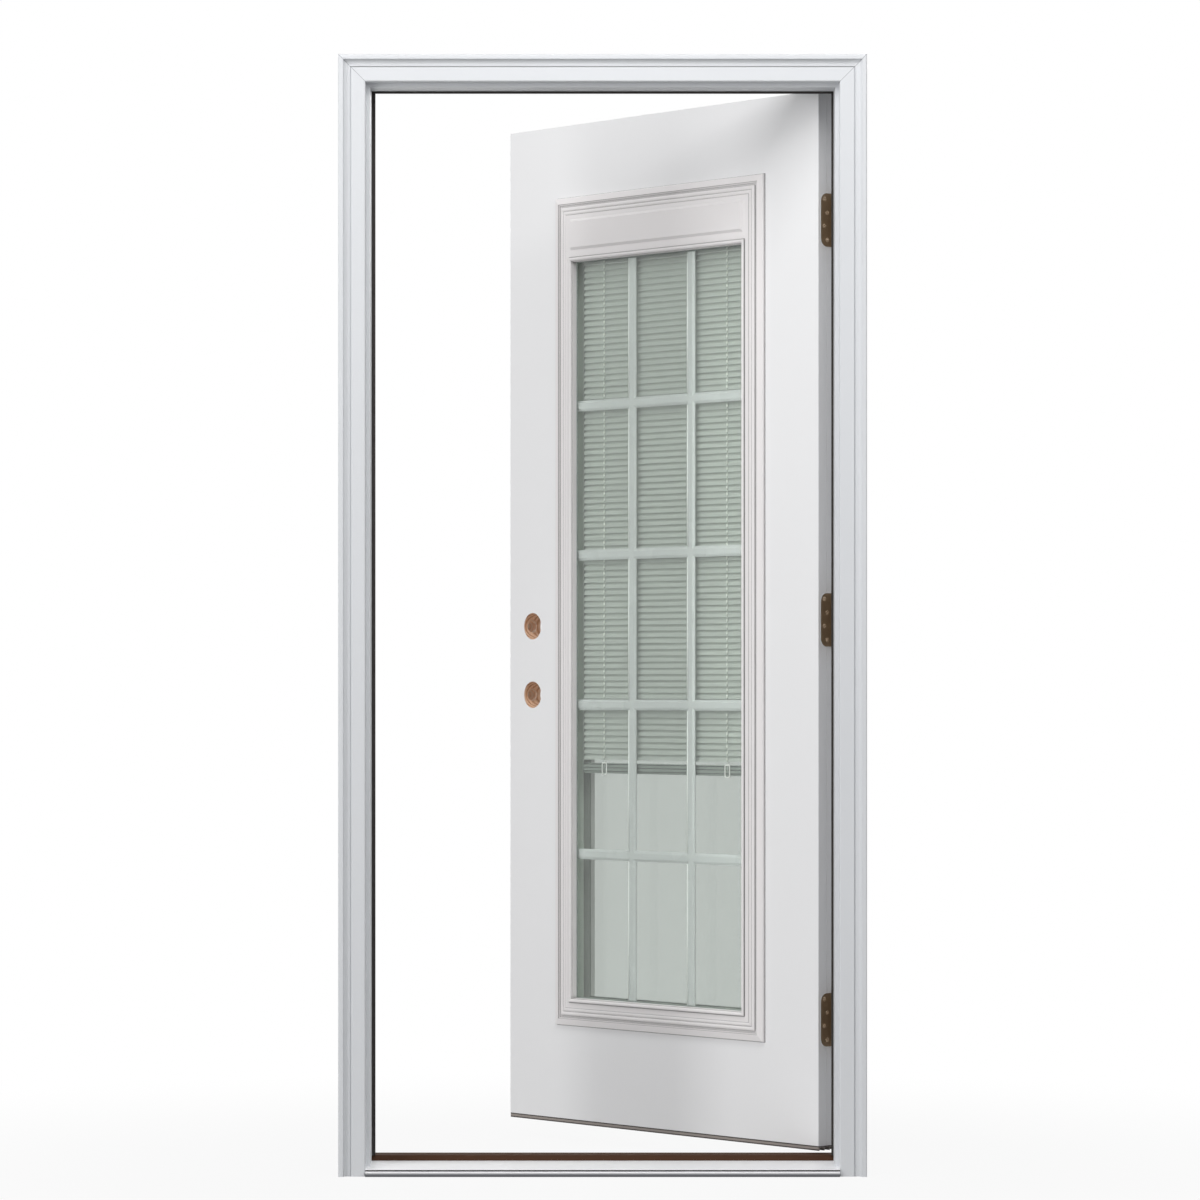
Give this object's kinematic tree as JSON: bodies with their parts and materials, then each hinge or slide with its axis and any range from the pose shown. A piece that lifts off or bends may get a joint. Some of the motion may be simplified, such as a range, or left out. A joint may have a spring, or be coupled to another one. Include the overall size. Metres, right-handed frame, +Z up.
{
  "type": "prehung steel front door",
  "caption": "White steel front door in its frame, with a full glass lite holding a grille and blinds, standing open on dark hinges over an aluminium sill.",
  "frame": {"origin": "middle of the sill's underside, in the plane of the jambs' outer edge", "axes": "+X toward the hinge side as seen from outside, +Y into the house, +Z up"},
  "size_m": [0.9908, 0.8311, 2.1034],
  "materials": {
    "white_composite": "smooth white painted composite",
    "white_steel": "smooth white factory paint on steel",
    "off_white_moulding": "fine-grained off-white moulded plastic",
    "dark_seal": "soft dark seal",
    "grey_sweep": "soft dark grey sweep",
    "sill_core": "grey composite base",
    "mill_aluminium": "bright mill-finish aluminium",
    "brown_cap": "dark brown composite",
    "bronze_hinge": "dark oil-rubbed bronze",
    "stile_wood": "reddish brown wood",
    "foam": "rigid yellow foam",
    "clear_glass": "clear glass with a green tint",
    "spacer_metal": "dull grey spacer",
    "grille_finish": "pale painted aluminium bars",
    "blind_finish": "white painted aluminium slats",
    "ladder_cord": "thin white braid",
    "operator_plastic": "smooth off-white plastic"
  },
  "bodies": {
    "frame": {"lock_jamb": "white_composite", "hinge_jamb": "white_composite", "head_jamb": "white_composite", "lock_brickmould": "white_composite", "hinge_brickmould": "white_composite", "head_brickmould": "white_composite", "lock_weatherstrip": "dark_seal", "hinge_weatherstrip": "dark_seal", "head_weatherstrip": "dark_seal", "sill_base": "sill_core", "sill_deck": "mill_aluminium", "sill_cap": "brown_cap", "upper_hinge_jamb_plate": "bronze_hinge", "upper_hinge_pin": "bronze_hinge", "middle_hinge_jamb_plate": "bronze_hinge", "middle_hinge_pin": "bronze_hinge", "lower_hinge_jamb_plate": "bronze_hinge", "lower_hinge_pin": "bronze_hinge"},
    "leaf": {"exterior_skin": "white_steel", "interior_skin": "white_steel", "lock_stile": "stile_wood", "hinge_stile": "stile_wood", "top_rail": "stile_wood", "bottom_rail": "stile_wood", "lock_block": "stile_wood", "foam_core": "foam", "exterior_lite_frame": "off_white_moulding", "interior_lite_frame": "off_white_moulding", "exterior_cover_panel": "off_white_moulding", "interior_cover_panel": "off_white_moulding", "exterior_pane": "clear_glass", "interior_pane": "clear_glass", "glass_spacer": "spacer_metal", "grille": "grille_finish", "blind_headrail": "blind_finish", "blind_slats": "blind_finish", "blind_ladders": "ladder_cord", "blind_bottom_rail": "blind_finish", "blind_operator_track": "operator_plastic", "blind_operator_slider": "operator_plastic", "door_sweep": "grey_sweep", "upper_hinge_leaf_plate": "bronze_hinge", "middle_hinge_leaf_plate": "bronze_hinge", "lower_hinge_leaf_plate": "bronze_hinge"}
  },
  "joints": [
    {"name": "door_swing", "type": "hinge", "parent": "frame", "child": "leaf", "pos_m": [0.45462, 0.12859, 1.0483], "axis": [0, 0, -1], "range_deg": [-48.5, 120]}
  ]
}
